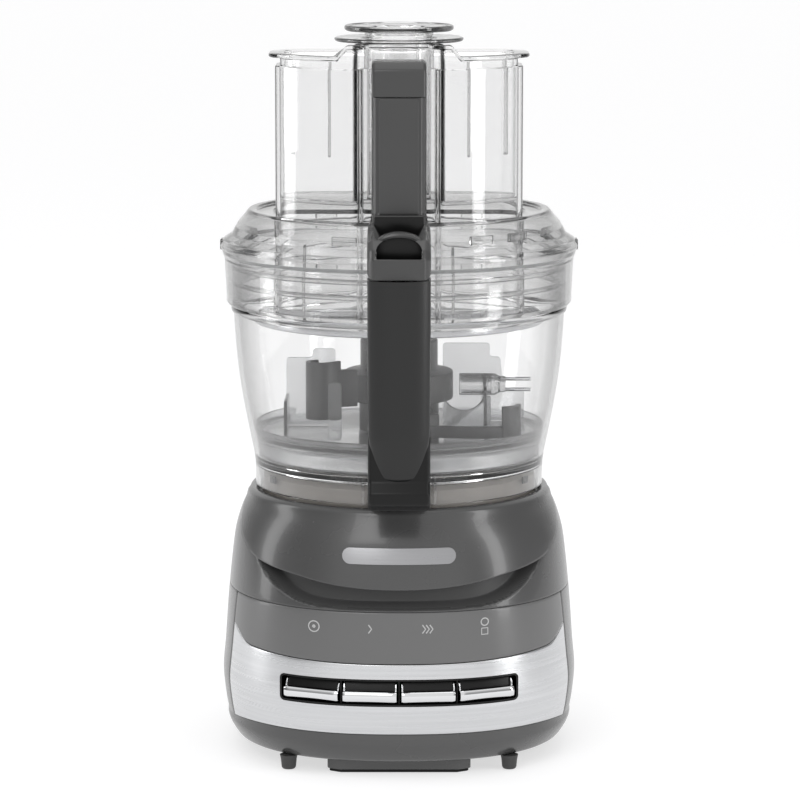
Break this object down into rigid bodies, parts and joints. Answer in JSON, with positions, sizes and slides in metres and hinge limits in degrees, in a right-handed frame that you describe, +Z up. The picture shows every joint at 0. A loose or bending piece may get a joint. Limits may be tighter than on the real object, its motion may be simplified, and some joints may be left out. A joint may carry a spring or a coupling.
{
  "type": "food processor",
  "caption": "Countertop food processor: rounded base with a steel band and push buttons, clear twist-lock bowl with front handle, wide feed tube lid and two pushers.",
  "frame": {"origin": "centre of the object's footprint box on the table; the bowl, blade and spindle turn about the Z axis", "axes": "+Z up, -Y to the front with the handle and buttons, +X to the right seen from the front"},
  "size_m": [0.2006, 0.252, 0.408],
  "materials": {
    "housing": "charcoal grey, smooth moulded plastic with a soft gloss",
    "panel": "lighter charcoal grey moulded plastic",
    "handle": "dark charcoal moulded plastic",
    "band": "brushed round the base, satin",
    "chrome": "polished",
    "black_plastic": "fine textured",
    "rubber": "matt",
    "clear": "clear, polished",
    "smoke": "translucent grey",
    "seal": "translucent silicone",
    "ring": "warm grey, satin",
    "hub": "dark grey, fine textured",
    "blade_steel": "ground",
    "steel": "machined",
    "cast": "die cast",
    "copper": "enamelled copper",
    "board": "green circuit board",
    "fan": "off-white nylon"
  },
  "bodies": {
    "root": {"lower_housing": "housing", "rear_housing": "housing", "upper_housing": "housing", "control_panel": "panel", "steel_band": "band", "button_frame": "black_plastic", "bottom_cover": "black_plastic", "housing_screws": "steel", "rubber_feet": "rubber", "front_skid": "housing", "skid_pad": "rubber", "cord_gland": "rubber", "bowl_platform": "housing", "platform_ring": "ring", "lock_lugs": "black_plastic", "spindle_housing": "cast", "spindle_bearings": "steel", "shaft_seal": "rubber", "motor_stator": "steel", "field_coils": "copper", "motor_bridge": "cast", "motor_bearings": "steel", "brush_holders": "black_plastic", "drive_belt": "rubber", "control_board": "board", "switch_board": "board", "button_switches": "black_plastic", "interlock_switch": "black_plastic"},
    "rotor": {"motor_rotor": "steel", "commutator": "copper", "cooling_fan": "fan", "motor_pulley": "steel"},
    "spindle": {"drive_spindle": "steel", "spindle_pulley": "black_plastic"},
    "button_1": {"button_1": "chrome"},
    "button_2": {"button_2": "chrome"},
    "button_3": {"button_3": "chrome"},
    "button_4": {"button_4": "chrome"},
    "bowl_seat": {"seat_ring": "black_plastic"},
    "bowl": {"work_bowl": "clear", "bowl_handle": "handle", "rod_spring": "steel", "storage_caddy": "smoke", "dough_blade": "hub", "stem_adapter": "smoke", "adapter_prongs": "blade_steel", "slicing_disc": "blade_steel", "disc_hub": "hub"},
    "interlock": {"interlock_rod": "fan"},
    "blade": {"blade_hub": "hub", "chopping_blades": "blade_steel"},
    "lid_seat": {"lid_seal": "seal"},
    "lid": {"lid_shell": "clear", "feed_tube": "clear", "lid_cover": "handle", "cover_cap": "handle"},
    "large_pusher": {"large_pusher": "clear"},
    "small_pusher": {"small_pusher": "clear"}
  },
  "joints": [
    {"name": "motor_spin", "type": "hinge", "parent": "root", "child": "rotor", "pos_m": [0, 0.062, 0.07], "axis": [0, 0, 1], "continuous": true},
    {"name": "spindle_spin", "type": "hinge", "parent": "root", "child": "spindle", "pos_m": [0, 0, 0.07], "axis": [0, 0, 1], "continuous": true},
    {"name": "bowl_turn", "type": "hinge", "parent": "root", "child": "bowl_seat", "pos_m": [0, 0, 0.159], "axis": [0, 0, 1], "range_deg": [-20, 0]},
    {"name": "bowl_lift", "type": "slide", "parent": "bowl_seat", "child": "bowl", "axis": [0, 0, 1], "range_m": [0, 0.16]},
    {"name": "blade_spin", "type": "hinge", "parent": "bowl", "child": "blade", "pos_m": [0, 0, 0.17], "axis": [0, 0, 1], "continuous": true},
    {"name": "interlock_press", "type": "slide", "parent": "bowl", "child": "interlock", "axis": [0, 0, 1], "range_m": [-0.004, 0], "stiffness_N_per_m": 150, "springref_m": 0.006, "deforming": ["rod_spring"]},
    {"name": "lid_lift", "type": "slide", "parent": "bowl", "child": "lid_seat", "axis": [0, 0, 1], "range_m": [0, 0.16]},
    {"name": "lid_turn", "type": "hinge", "parent": "lid_seat", "child": "lid", "pos_m": [0, 0, 0.28], "axis": [0, 0, 1], "range_deg": [-25, 0]},
    {"name": "large_pusher_lift", "type": "slide", "parent": "lid", "child": "large_pusher", "axis": [0, 0, 1], "range_m": [0, 0.14]},
    {"name": "small_pusher_lift", "type": "slide", "parent": "large_pusher", "child": "small_pusher", "axis": [0, 0, 1], "range_m": [0, 0.11]},
    {"name": "button_1_press", "type": "slide", "parent": "root", "child": "button_1", "axis": [0.4033, 0.9151, 0], "range_m": [0, 0.0025], "stiffness_N_per_m": 300, "springref_m": -0.003},
    {"name": "button_2_press", "type": "slide", "parent": "root", "child": "button_2", "axis": [0.0948, 0.9955, 0], "range_m": [0, 0.0025], "stiffness_N_per_m": 300, "springref_m": -0.003},
    {"name": "button_3_press", "type": "slide", "parent": "root", "child": "button_3", "axis": [-0.0948, 0.9955, 0], "range_m": [0, 0.0025], "stiffness_N_per_m": 300, "springref_m": -0.003},
    {"name": "button_4_press", "type": "slide", "parent": "root", "child": "button_4", "axis": [-0.4033, 0.9151, 0], "range_m": [0, 0.0025], "stiffness_N_per_m": 300, "springref_m": -0.003}
  ],
  "couplings": [
    {"joint": "spindle_spin", "follows": "motor_spin", "ratio": 0.2},
    {"joint": "blade_spin", "follows": "motor_spin", "ratio": 0.2}
  ]
}
